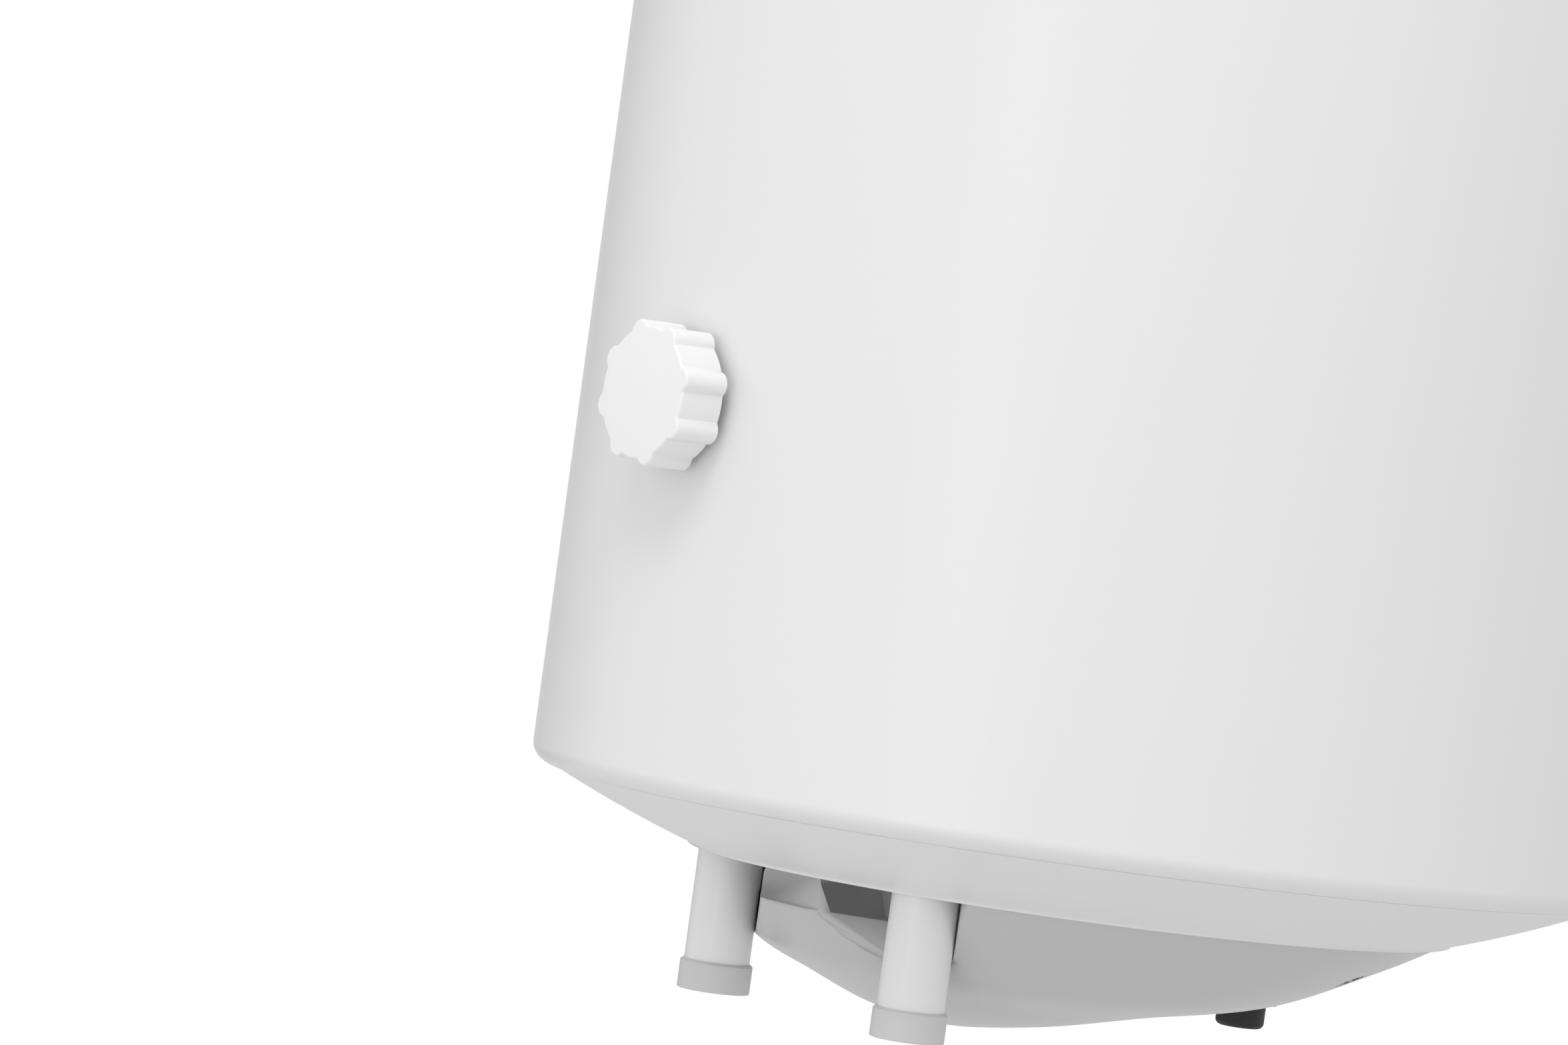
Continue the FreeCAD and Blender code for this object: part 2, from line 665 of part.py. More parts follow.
def reset_button():
    """Button with a collar inside the body, which keeps it from dropping out."""
    x, y = button_place()
    seat = CUTOUT_LOW_Z + CUTOUT_FLOOR + 0.05
    stem = cylinder(BUTTON_R, CUTOUT_LOW_Z - BUTTON_OUT, seat + BUTTON_COLLAR, x, y)
    stem = stem.makeFillet(0.8, [e for e in stem.Edges if e.BoundBox.ZMax < CUTOUT_LOW_Z - BUTTON_OUT + 0.1])
    return stem.fuse(cylinder(BUTTON_R + BUTTON_COLLAR, seat, seat + BUTTON_COLLAR, x, y))


def cutout_tab_places():
    """The flat tabs stand out of the rear and front faces of the cut-out."""
    z = (CUTOUT_LOW_Z + CUTOUT_TOP_Z) / 2
    return [(x, face, z) for x in (CUTOUT_X[0] + TAB_IN, CUTOUT_X[1] - TAB_IN)
            for face in (CUTOUT_Y[0] - TAB_LENGTH, CUTOUT_Y[1])]


def cutout_tabs():
    half = TAB_T / 2
    return Part.makeCompound([block(x - TAB_HALF, x + TAB_HALF, y, y + TAB_LENGTH, z - half, z + half)
                              for x, y, z in cutout_tab_places()])


def terminal_block():
    """Three-pole block for the supply leads, fixed under the pan's floor."""
    body = rounded_block(-BLOCK_HALF_X, BLOCK_HALF_X, *BLOCK_Y, BLOCK_LOW_Z, WELL_FLOOR_Z, 2.0)
    mid_y = sum(BLOCK_Y) / 2
    bores = [cylinder(2.6, BLOCK_LOW_Z, BLOCK_LOW_Z + 9, x, mid_y) for x in POLE_X]
    ways = [Part.makeCylinder(WIRE_R + 0.3, 8, V(x, BLOCK_Y[0], SUPPLY_Z), V(0, 1, 0)) for x in POLE_X]
    return body.cut(union(bores + ways))


def terminal_screws():
    mid_y = sum(BLOCK_Y) / 2
    screws = []
    for x in POLE_X:
        head = cylinder(2.5, BLOCK_LOW_Z + 1.5, BLOCK_LOW_Z + 8.5, x, mid_y)
        slot = block(x - 3, x + 3, mid_y - 0.4, mid_y + 0.4, BLOCK_LOW_Z + 1.5, BLOCK_LOW_Z + 2.5)
        screws.append(head.cut(slot))
    return Part.makeCompound(screws)


def wiring():
    """The leads under the cover and the two that climb to the regulator, one node each."""
    tab_z = (CUTOUT_LOW_Z + CUTOUT_TOP_Z) / 2
    rear_y, front_y = CUTOUT_Y[1] + 4, CUTOUT_Y[0] - 4
    left_x, right_x = CUTOUT_X[0] + TAB_IN, CUTOUT_X[1] - TAB_IN
    on_tab = tab_z - TAB_T / 2 - WIRE_R
    ends_z = (TERMINAL_LOW_Z + TAB_TOP_Z) / 2
    below_tab = ELEMENT_Y + TAB_T / 2 + WIRE_R
    up_y = -(SHELL_R - 11.0)
    regulator_z = KNOB_Z - REGULATOR_HALF
    return {
        "wire_live": [(POLE_X[0], BLOCK_Y[0] + 5, SUPPLY_Z), (POLE_X[0], 52, SUPPLY_Z), (left_x, 24, -34),
                      (left_x, rear_y - 3, on_tab)],
        "wire_neutral": [(POLE_X[1], BLOCK_Y[0] + 5, SUPPLY_Z), (POLE_X[1], 50, SUPPLY_Z), (right_x, 28, -38),
                         (right_x, rear_y - 3, on_tab)],
        "wire_earth": [(POLE_X[2], BLOCK_Y[0] + 5, SUPPLY_Z), (POLE_X[2], 54, SUPPLY_Z), (42, 28, -24),
                       (42, -24, -24), (14, -38, -14), (EARTH[0] + 5.3, EARTH[1], FLANGE_UNDER_Z - 3)],
        "wire_element_cutout": [(left_x, front_y + 3, on_tab), (left_x, -48, -34), (-44, -30, -34),
                                (-44, 14, -30), (-ELEMENT_X - 6, below_tab + 1, ends_z),
                                (-ELEMENT_X + 3, below_tab, ends_z)],
        "wire_regulator_out": [(5, up_y, regulator_z), (5, up_y, 42), (5, up_y + 15, 17), (5, DUCT_Y, 0),
                               (5, DUCT_Y, -20), (right_x, -56, -32), (right_x, front_y + 3, on_tab)],
        "wire_regulator_back": [(-5, up_y, regulator_z), (-5, up_y, 42), (-5, up_y + 15, 17), (-5, DUCT_Y, 0),
                                (-5, DUCT_Y, -26), (20, -62, -38), (34, -10, -38),
                                (26, below_tab + 6, ends_z - 6), (ELEMENT_X - 3, below_tab, ends_z)],
    }


def capillary_points():
    bulb_x = WELL_POCKET[0] - POCKET_OFFSET
    up_y = -(SHELL_R - 12.0)
    return [(0, up_y, KNOB_Z - REGULATOR_HALF), (0, up_y, 42), (0, up_y + 15, 17), (0, DUCT_Y, 0),
            (0, DUCT_Y, -14), (-12, -62, -12), (bulb_x, WELL_POCKET[1], -11),
            (bulb_x, WELL_POCKET[1], BULB_Z0)]


def sensor_bulb():
    x, y = WELL_POCKET[0] - POCKET_OFFSET, WELL_POCKET[1]
    return cylinder(BULB_R, BULB_Z0, BULB_Z1, x, y)


# ---- regulator and knob ----

def regulator_housing():
    """Plastic box in the foam that leaves room for the regulator. Its mouth is under the shell."""
    h, wall = HOUSING_HALF, HOUSING_WALL
    front = -math.sqrt((SHELL_R - SHELL_T - FOAM_GAP) ** 2 - h ** 2) + 0.3
    outer = block(-h, h, front, HOUSING_BACK_Y, KNOB_Z - h, KNOB_Z + h)
    inner = block(-h + wall, h - wall, front - 1, HOUSING_BACK_Y - wall, KNOB_Z - h + wall, KNOB_Z + h - wall)
    way_out = block(-8.0, 8.0, -(SHELL_R - 6.0), -(TANK_R + 5.0), KNOB_Z - h - 1, KNOB_Z - h + wall + 1)
    return outer.cut(inner.fuse(way_out))


def regulator_body():
    """Capillary regulator, with the threaded bush that holds it in the shell's hole."""
    h = REGULATOR_HALF
    case = block(-h, h, REGULATOR_FRONT_Y, REGULATOR_BACK_Y, KNOB_Z - h, KNOB_Z + h)
    case = case.makeChamfer(1.5, [e for e in case.Edges if abs(e.tangentAt(e.FirstParameter).y) > 0.9])
    bush = front_cylinder(BUSH_R, REGULATOR_FRONT_Y, BUSH_FRONT_Y, KNOB_Z)
    bore = front_cylinder(SPINDLE_R + SPINDLE_GAP, REGULATOR_FRONT_Y + 6, BUSH_FRONT_Y - 1, KNOB_Z)
    return case.fuse(bush).cut(bore)


def bush_nut():
    """Thin hexagon nut that clamps the bush to the shell."""
    nut = hexagon(BUSH_NUT_AF, 0, NUT_BACK_Y - NUT_FRONT_Y, 0, 0)
    nut.rotate(V(0, 0, 0), V(1, 0, 0), 90)
    nut.translate(V(0, NUT_BACK_Y, KNOB_Z))
    return nut.cut(front_cylinder(BUSH_R + 0.02, NUT_BACK_Y + 1, NUT_FRONT_Y - 1, KNOB_Z))


def spindle_flat(extra):
    """The space above the spindle's flat, grown by extra."""
    level = KNOB_Z + SPINDLE_R - FLAT_DEPTH + extra
    return block(-10, 10, SPINDLE_FRONT_Y - 20, BUSH_FRONT_Y - 1.0, level, level + 10)


def regulator_spindle():
    body = front_cylinder(SPINDLE_R, REGULATOR_FRONT_Y + 5.5, SPINDLE_FRONT_Y, KNOB_Z)
    return body.cut(spindle_flat(0.0))


def lobe_places():
    angles = [math.radians(KNOB_FIRST_LOBE_DEG + 360.0 * k / KNOB_LOBES) for k in range(KNOB_LOBES)]
    return [(LOBE_CENTRE_R * math.cos(a), LOBE_CENTRE_R * math.sin(a)) for a in angles]


def knob():
    """Hollow moulded knob: a round body with half-round lobes, a closed face and a hub for the spindle."""
    parts = [front_cylinder(KNOB_BODY_R, KNOB_BACK_Y, KNOB_FRONT_Y, KNOB_Z)]
    for x, z in lobe_places():
        parts.append(front_cylinder(LOBE_R, KNOB_BACK_Y, KNOB_FRONT_Y, KNOB_Z).translated(V(x, 0, z)))
    body = union(parts).removeSplitter()
    body = body.makeFillet(0.7, [e for e in body.Edges if e.BoundBox.YMax < KNOB_FRONT_Y + 0.01])
    recess = front_cylinder(KNOB_RECESS_R, KNOB_BACK_Y + 1, KNOB_FRONT_Y + KNOB_FACE_T, KNOB_Z)
    hub = front_cylinder(KNOB_HUB_R, HUB_BACK_Y, KNOB_FRONT_Y + KNOB_FACE_T, KNOB_Z)
    bore = front_cylinder(SPINDLE_R + 0.02, HUB_BACK_Y + 1, SPINDLE_FRONT_Y - 0.3, KNOB_Z)
    d_bore = bore.cut(spindle_flat(0.02))
    return body.cut(recess.cut(hub)).cut(d_bore).cut(clip_space(0.02))


def clip_space(grow):
    """A thin slot in the hub above the spindle's flat, where the spring clip sits."""
    z = KNOB_Z + SPINDLE_R - FLAT_DEPTH + 0.1 - grow
    back = HUB_BACK_Y + 1.0 if grow else HUB_BACK_Y - 0.6
    half = CLIP_HALF + grow
    return block(-half, half, CLIP_FRONT_Y - grow, back, z, z + CLIP_T + 2 * grow)


def knob_clip():
    """Flat steel spring that grips the spindle's flat."""
    return clip_space(0.0)


# ---- electrical cover ----

def bowl(inset):
    """The cover's bowl as a solid, drawn in by inset: a round rim, and a belly that lies forward."""
    rings = []
    for depth, forward, r in COVER_SECTIONS:
        level = LIP_Z - depth + inset
        rings.append(Part.Wire(Part.makeCircle(r - inset, V(0, -forward, level), UP)))
    body = Part.makeLoft(rings, True, False)
    rim_level = LIP_Z + inset
    return body.fuse(cylinder(COVER_SECTIONS[0][2] - inset, rim_level, WELL_FLOOR_Z - COVER_TOP_GAP))


def cover_recesses(grow):
    """What the cover leaves free: a splayed way for each pipe, room beside the tongue, a flat front."""
    ledge = LIP_Z - LEDGE_DEPTH
    top, low = WELL_FLOOR_Z + 1, LIP_Z - 60
    front = -WELL_R - 40
    room = PIPE_CLEARANCE_R + grow
    slant = math.radians(WAY_SLANT_DEG)
    touch, touch_y = room * math.sin(slant), PIPE_Y + room * math.cos(slant)
    spread = touch + (touch_y - front) / math.tan(slant)
    near, far = (PIPE_X - touch, PIPE_X + touch), (PIPE_X - spread, PIPE_X + spread)
    way = [(near[0], touch_y), (far[0], front), (far[1], front), (near[1], touch_y)]
    high_half, low_half = TONGUE_TOP_HALF - grow, TONGUE_HALF_WIDTH - grow
    flank = [(high_half, top), (high_half, LIP_Z), (low_half, ledge - grow)]
    beside = flank + [(PIPE_X, ledge - grow), (PIPE_X, top)]
    cuts = []
    for side in (-1, 1):
        cuts.append(prism([V(side * x, y, low) for x, y in way], V(0, 0, top - low)))
        cuts.append(cylinder(room, low, top, side * PIPE_X, PIPE_Y))
        back = PIPE_Y + room
        cuts.append(prism([V(side * x, back, z) for x, z in beside], V(0, front - back, 0)))
    half = TONGUE_HALF_WIDTH + 6
    cuts.append(block(-half, half, front, TONGUE_FRONT_Y + grow, ledge - grow, top))
    return union(cuts)


def electrical_cover():
    """Moulded bowl over the flange and terminals, open at its top."""
    outer = bowl(0.0).cut(cover_recesses(0.0))
    inner = bowl(COVER_WALL).cut(cover_recesses(COVER_WALL))
    inner = inner.fuse(cylinder(COVER_SECTIONS[0][2] - COVER_WALL, WELL_FLOOR_Z - 6, WELL_FLOOR_Z + 1)
                       .cut(cover_recesses(COVER_WALL)))
    shell = outer.cut(inner)
    top = WELL_FLOOR_Z - COVER_TOP_GAP
    screw_x, screw_y = COVER_SCREW
    bosses = [cylinder(BOSS_R, LIP_Z - 40, top, x, screw_y) for x in (-screw_x, screw_x)]
    bosses = union(bosses).common(bowl(COVER_WALL / 2))
    gland_boss = cylinder(GLAND_BOSS_R, GLAND_BOSS_Z, LIP_Z - 5, 0, GLAND_Y).cut(bowl(COVER_WALL / 2))
    body = union([shell, bosses, gland_boss])
    room_z = GLAND_BOSS_Z + GLAND_BOSS_FLOOR
    cuts = [cylinder(GLAND_BOSS_R - COVER_WALL, room_z, LIP_Z - 5, 0, GLAND_Y)]
    cuts.append(cylinder(GLAND_R + 0.1, GLAND_BOSS_Z - 1, room_z + 1, 0, GLAND_Y))
    for x in (-screw_x, screw_x):
        cuts.append(cylinder(SCREW_R + 0.3, LIP_Z - 45, top + 1, x, screw_y))
        cuts.append(cylinder(SCREW_HEAD_R + 0.4, LIP_Z - 45, SCREW_HEAD_Z, x, screw_y))
    for x in (-PIPE_X, PIPE_X):
        cuts.append(cylinder(GROMMET_R + 0.3, WELL_FLOOR_Z - GROMMET_FLANGE - 0.3, top + 1, x, PIPE_Y))
    return body.cut(union(cuts)).removeSplitter()


def cover_screws():
    screws = []
    under_z = SCREW_HEAD_Z - SCREW_HEAD_H
    y = COVER_SCREW[1]
    for x in (-COVER_SCREW[0], COVER_SCREW[0]):
        head = cylinder(SCREW_HEAD_R, under_z, SCREW_HEAD_Z, x, y)
        shank = cylinder(SCREW_R, SCREW_HEAD_Z, SCREW_TOP_Z, x, y)
        cross = [block(x - a, x + a, y - b, y + b, under_z - 1, under_z + 1.2) for a, b in CROSS_ARMS]
        screws.append(head.fuse(shank).cut(union(cross)))
    return Part.makeCompound(screws)


def cable_gland():
    """Compression gland for the supply lead: a barrel, a flange under the boss and a domed nut."""
    under_z, top = GLAND_BOSS_Z - GLAND_FLANGE_H, GLAND_BOSS_Z + GLAND_BARREL_H
    barrel = cylinder(GLAND_R, GLAND_BOSS_Z, top, 0, GLAND_Y)
    flange = hexagon(GLAND_NUT_AF, under_z, GLAND_BOSS_Z, 0, GLAND_Y)
    dome = cylinder(GLAND_R, GLAND_LOW_Z, under_z, 0, GLAND_Y)
    dome = dome.makeFillet(2.0, [e for e in dome.Edges if e.BoundBox.ZMax < GLAND_LOW_Z + 0.1])
    return union([barrel, flange, dome]).cut(cylinder(GLAND_BORE_R, GLAND_LOW_Z, top, 0, GLAND_Y))


def gland_nut():
    """Lock nut inside the cover."""
    low = GLAND_BOSS_Z + GLAND_BOSS_FLOOR
    nut = hexagon(GLAND_NUT_AF, low, low + 4, 0, GLAND_Y)
    return nut.cut(cylinder(GLAND_R + 0.02, low - 1, low + 5, 0, GLAND_Y))


# ---- hanging ----

def hanger_places():
    return [(x, z) for z in (LOWER_BRACKET_Z, BRACKET_Z) for x in (-HANGER_X, HANGER_X)]


def hanger_cylinder(r, x, z):
    """Along a hanger stud, from the tank's wall to just short of the house wall."""
    start = math.sqrt(TANK_R ** 2 - x ** 2)
    return Part.makeCylinder(r, HANGER_END_Y - start, V(x, start, z), V(0, 1, 0))


def hanger_studs():
    tank = cylinder(TANK_R, TANK_Z0, TANK_Z1)
    return Part.makeCompound([hanger_cylinder(HANGER_R, x, z).cut(tank) for x, z in hanger_places()])


def hanger_nuts():
    web_y = SHELL_R + 0.1 + WEB_T
    nuts = []
    for x, z in hanger_places():
        nut = hexagon(M8_NUT_AF, 0, HANGER_NUT_H, 0, 0)
        nut.rotate(V(0, 0, 0), V(1, 0, 0), -90)
        nut.translate(V(x, web_y, z))
        nuts.append(nut.cut(hanger_cylinder(HANGER_R + 0.02, x, z)))
    return Part.makeCompound(nuts)


def wall_bracket(z, ear_end, slots):
    """Bent steel strap: a web bolted against the shell, and two ears that lie on the wall."""
    web = SHELL_R + 0.1
    wall = SHELL_R + WALL_GAP
    half = [(0, web), (WEB_HALF, web), (EAR_START, wall - WEB_T), (ear_end, wall - WEB_T), (ear_end, wall),
            (EAR_START - 1.0, wall), (WEB_HALF - 1.0, web + WEB_T), (0, web + WEB_T)]
    outline = [V(x, y, z - BRACKET_H / 2) for x, y in half]
    right = prism(outline, V(0, 0, BRACKET_H))
    body = right.fuse(right.mirror(V(0, 0, 0), V(1, 0, 0))).removeSplitter()
    ends = [e for e in body.Edges
            if abs(e.tangentAt(e.FirstParameter).y) > 0.9 and abs(abs(e.CenterOfMass.x) - ear_end) < 0.1]
    body = body.makeFillet(EAR_CORNER, ends)
    cuts = [hanger_cylinder(HANGER_R + 0.3, x, stud_z) for x, stud_z in hanger_places() if stud_z == z]
    if slots:
        straight = SLOT_LENGTH / 2 - SLOT_R
        for x in (-SLOT_SPACING / 2, SLOT_SPACING / 2):
            for dx in (-straight, straight):
                cuts.append(Part.makeCylinder(SLOT_R, 10, V(x + dx, wall - 6, z), V(0, 1, 0)))
            cuts.append(block(x - straight, x + straight, wall - 6, wall + 4, z - SLOT_R, z + SLOT_R))
    return body.cut(union(cuts)).removeSplitter()


def main():
    os.makedirs("parts", exist_ok=True)
    pieces = {
        "outer_shell": outer_shell(),
        "bottom_pan": bottom_pan(),
        "top_cap": top_cap(),
        "foam_insulation": foam_insulation(),
        "tank_barrel": tube(TANK_R, TANK_R - TANK_T, TANK_Z0, TANK_Z1),
        "tank_bottom_head": tank_bottom_head(),
        "tank_top_head": tank_top_head(),
        "flange_neck": flange_neck(),
        "cold_inlet_pipe": nipple(-PIPE_X, COLD_TOP_Z),
        "hot_outlet_pipe": hot_outlet_pipe(),
        "cold_diffuser": cold_diffuser(),
        "hot_standpipe": hot_standpipe(),
        "cold_pipe_collar": pipe_collar(-PIPE_X),
        "hot_pipe_collar": pipe_collar(PIPE_X),
        "pipe_grommets": Part.makeCompound([pipe_grommet(x) for x in (-PIPE_X, PIPE_X)]),
        "flange_studs": flange_studs(),
        "flange_gasket": flange_gasket(),
        "flange_plate": flange_plate(),
        "flange_nuts": flange_nuts(),
        "element_bushings": element_bushings(),
        "heating_element": heating_element(),
        "element_terminals": element_terminals(),
        "sensor_pocket": sensor_pocket(),
        "anode_rod": anode_rod(),
        "anode_nut": anode_nut(),
        "earth_screw": earth_screw(),
        "thermal_cutout": thermal_cutout(),
        "cutout_tabs": cutout_tabs(),
        "reset_button": reset_button(),
        "terminal_block": terminal_block(),
        "terminal_screws": terminal_screws(),
        "capillary_tube": lead(capillary_points(), CAPILLARY_R),
        "sensor_bulb": sensor_bulb(),
        "regulator_housing": regulator_housing(),
        "regulator_body": regulator_body(),
        "bush_nut": bush_nut(),
        "regulator_spindle": regulator_spindle(),
        "knob": knob(),
        "knob_clip": knob_clip(),
        "electrical_cover": electrical_cover(),
        "cover_screws": cover_screws(),
        "cable_gland": cable_gland(),
        "gland_nut": gland_nut(),
        "hanger_studs": hanger_studs(),
        "hanger_nuts": hanger_nuts(),
        "wall_bracket_upper": wall_bracket(BRACKET_Z, UPPER_EAR_END, True),
        "wall_bracket_lower": wall_bracket(LOWER_BRACKET_Z, LOWER_EAR_END, False),
    }
    for name, points in wiring().items():
        pieces[name] = lead(points, WIRE_R, 12.0)
    for name, shape in pieces.items():
        write(name, shape)
        print(f"{name:22s} solids {len(shape.Solids)} valid {shape.isValid()} cm3 {shape.Volume / 1000:.2f}")


main()
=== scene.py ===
import json
import math

import bmesh
import bpy
from mathutils import Matrix, Vector


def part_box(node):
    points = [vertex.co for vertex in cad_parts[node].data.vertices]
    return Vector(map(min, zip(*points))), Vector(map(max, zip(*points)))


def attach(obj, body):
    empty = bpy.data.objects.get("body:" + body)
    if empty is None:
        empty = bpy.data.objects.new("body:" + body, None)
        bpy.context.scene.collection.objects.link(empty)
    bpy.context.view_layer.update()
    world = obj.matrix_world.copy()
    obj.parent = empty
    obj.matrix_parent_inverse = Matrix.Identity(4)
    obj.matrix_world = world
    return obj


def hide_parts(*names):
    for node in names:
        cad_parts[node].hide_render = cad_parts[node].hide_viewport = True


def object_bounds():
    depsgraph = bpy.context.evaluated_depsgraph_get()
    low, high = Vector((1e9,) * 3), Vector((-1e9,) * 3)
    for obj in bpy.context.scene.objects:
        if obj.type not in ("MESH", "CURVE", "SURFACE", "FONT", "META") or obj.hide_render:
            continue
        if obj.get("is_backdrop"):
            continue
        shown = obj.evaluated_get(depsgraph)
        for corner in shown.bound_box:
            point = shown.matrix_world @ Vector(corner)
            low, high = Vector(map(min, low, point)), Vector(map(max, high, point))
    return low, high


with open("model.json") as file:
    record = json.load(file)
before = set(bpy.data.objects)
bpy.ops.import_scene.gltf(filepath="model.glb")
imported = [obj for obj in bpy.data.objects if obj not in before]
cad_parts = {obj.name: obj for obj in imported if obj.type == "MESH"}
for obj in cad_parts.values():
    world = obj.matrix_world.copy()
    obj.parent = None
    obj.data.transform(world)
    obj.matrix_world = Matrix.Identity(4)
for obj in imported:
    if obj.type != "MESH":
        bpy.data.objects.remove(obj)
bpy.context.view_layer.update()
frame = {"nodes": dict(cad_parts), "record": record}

# ---- Where the heater hangs ----
# The frame's origin is on the wall, between the slots of the upper strap. The round body's axis stands
# in front of the wall, and heights below are counted from the shell's lower rim.

shell_low, shell_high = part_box("outer_shell")
AXIS = Vector(((shell_low.x + shell_high.x) / 2, (shell_low.y + shell_high.y) / 2, shell_low.z))
SHELL_R = (shell_high.x - shell_low.x) / 2
BODY_H = shell_high.z - shell_low.z
MM = 0.001

# ---- Camera, floor and light ----
# A studio shot: long lens a little above the rim, camera rolled, everything pale and soft.
# The cards are only seen by the gloss: they draw the darker edge that a white body needs on white.

AZIMUTH, PITCH, ROLL = math.radians(52.5), math.radians(1.19), math.radians(7.765)
DISTANCE = 2.24
CAMERA_LEFT = 106.4 * MM
CAMERA_ABOVE_RIM = 132 * MM
right = Vector((math.cos(AZIMUTH), math.sin(AZIMUTH), 0))
level_back = Vector((math.sin(AZIMUTH), -math.cos(AZIMUTH), 0))
up = Vector((0, 0, 1))
back = level_back * math.cos(PITCH) + up * math.sin(PITCH)
camera_up = up * math.cos(PITCH) - level_back * math.sin(PITCH)
rolled_right = right * math.cos(ROLL) + camera_up * math.sin(ROLL)
rolled_up = camera_up * math.cos(ROLL) - right * math.sin(ROLL)

camera = bpy.data.objects.new("camera", bpy.data.cameras.new("camera"))
bpy.context.scene.collection.objects.link(camera)
camera.data.lens = 160.7
camera.data.sensor_width = 36.0
camera.data.clip_end = 50.0
place = AXIS + level_back * DISTANCE - right * CAMERA_LEFT + up * CAMERA_ABOVE_RIM
turn = Matrix((rolled_right, rolled_up, back)).transposed().to_4x4()
camera.matrix_world = Matrix.Translation(place) @ turn
bpy.context.scene.camera = camera
bpy.context.scene.view_settings.view_transform = "Standard"


def linear(hex_colour):
    """sRGB hex to the linear colour that a socket takes."""
    parts = [int(hex_colour[k:k + 2], 16) / 255 for k in (1, 3, 5)]
    return tuple(c / 12.92 if c <= 0.04045 else ((c + 0.055) / 1.055) ** 2.4 for c in parts) + (1.0,)


def add(tree, kind, inputs=(), **settings):
    """A node with its settings. An input is a value, or the output socket that feeds it."""
    node = tree.nodes.new(kind)
    for key, value in settings.items():
        setattr(node, key, value)
    for key, value in dict(inputs).items():
        if isinstance(value, bpy.types.NodeSocket):
            tree.links.new(value, node.inputs[key])
        else:
            node.inputs[key].default_value = value
    return node


def new_object(name, mesh):
    piece = bpy.data.objects.new(name, mesh)
    bpy.context.scene.collection.objects.link(piece)
    return piece


def soft_light(name, offset, size, power):
    """An area light that faces the middle of the heater's lower half."""
    light = bpy.data.objects.new(name, bpy.data.lights.new(name, "AREA"))
    bpy.context.scene.collection.objects.link(light)
    light.data.shape = "RECTANGLE"
    light.data.size, light.data.size_y = size
    light.data.energy = power
    target = AXIS + up * 0.15
    light.location = target + offset
    light.rotation_euler = (-offset).to_track_quat("-Z", "Y").to_euler()
    light.visible_camera = False


def card(name, middle, facing, size, shade):
    """An upright flag that only reflections see."""
    mesh = bpy.data.meshes.new(name)
    side = facing.cross(up).normalized() * size[0] / 2
    tall = up * size[1] / 2
    mesh.from_pydata([middle - side - tall, middle + side - tall, middle + side + tall, middle - side + tall],
                     [], [(0, 1, 2, 3)])
    flag = new_object(name, mesh)
    material = bpy.data.materials.new(name)
    material.use_nodes = True
    tree = material.node_tree
    tree.nodes.clear()
    glow = add(tree, "ShaderNodeEmission", {"Color": linear(shade), "Strength": 1.0})
    add(tree, "ShaderNodeOutputMaterial", {"Surface": glow.outputs[0]})
    mesh.materials.append(material)
    flag.visible_camera = False
    flag.visible_shadow = False
    flag.visible_diffuse = False
    flag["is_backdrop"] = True


# The backdrop is white. As a light it is dimmer towards the ground, which leaves the undersides darker.
LIGHT_FROM_BELOW, LIGHT_FROM_ABOVE = 0.38, 0.93
WHITE = (1, 1, 1, 1)
world = bpy.data.worlds.new("studio")
bpy.context.scene.world = world
world.use_nodes = True
studio = world.node_tree
studio.nodes.clear()
ray = add(studio, "ShaderNodeLightPath")
seen = add(studio, "ShaderNodeBackground", {"Color": WHITE, "Strength": 1.0})
way = add(studio, "ShaderNodeTexCoord")
split = add(studio, "ShaderNodeSeparateXYZ", {0: way.outputs["Generated"]})
height = add(studio, "ShaderNodeMapRange", {"Value": split.outputs["Z"], "From Min": -1.0, "From Max": 0.5,
                                            "To Min": LIGHT_FROM_BELOW, "To Max": LIGHT_FROM_ABOVE})
lit = add(studio, "ShaderNodeBackground", {"Color": WHITE, "Strength": height.outputs[0]})
mixed = add(studio, "ShaderNodeMixShader",
            {0: ray.outputs["Is Camera Ray"], 1: lit.outputs[0], 2: seen.outputs[0]})
add(studio, "ShaderNodeOutputWorld", {"Surface": mixed.outputs[0]})

soft_light("key", level_back * 1.3 - right * 0.5 + up * 1.7, (1.0, 0.8), 12.5)
soft_light("low_front", level_back * 1.5 - right * 0.9 - up * 0.25, (0.5, 0.9), 1.8)
card("left_flag", AXIS - right * 0.9 - level_back * 1.6 + up * 0.2, right, (2.2, 2.6), "#8c8c8c")

floor_mesh = bpy.data.meshes.new("floor")
FLOOR_Z = AXIS.z - 0.42
FLOOR_HALF = 1.3
floor_mesh.from_pydata([(AXIS.x + a * FLOOR_HALF, AXIS.y + b * FLOOR_HALF, FLOOR_Z)
                        for a, b in ((-1, -1), (1, -1), (1, 1), (-1, 1))], [], [(0, 1, 2, 3)])
floor = new_object("floor", floor_mesh)
floor_material = bpy.data.materials.new("pale_floor")
floor_material.use_nodes = True
floor_shader = floor_material.node_tree.nodes["Principled BSDF"]
floor_shader.inputs["Base Color"].default_value = linear("#d8d8d8")
floor_shader.inputs["Roughness"].default_value = 0.8
floor_mesh.materials.append(floor_material)
floor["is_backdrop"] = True

# ---- Shell ----
# The outer casing: 0.8 mm steel sheet rolled into a tube, its edges turned in over the caps with a
# 6.5 mm radius. White baked powder enamel, smooth and glossy, with a faint orange peel.

ROLL_R = 6.5 * MM
RIM_R = SHELL_R - ROLL_R
SHELL_T = 0.8 * MM
AROUND = 256


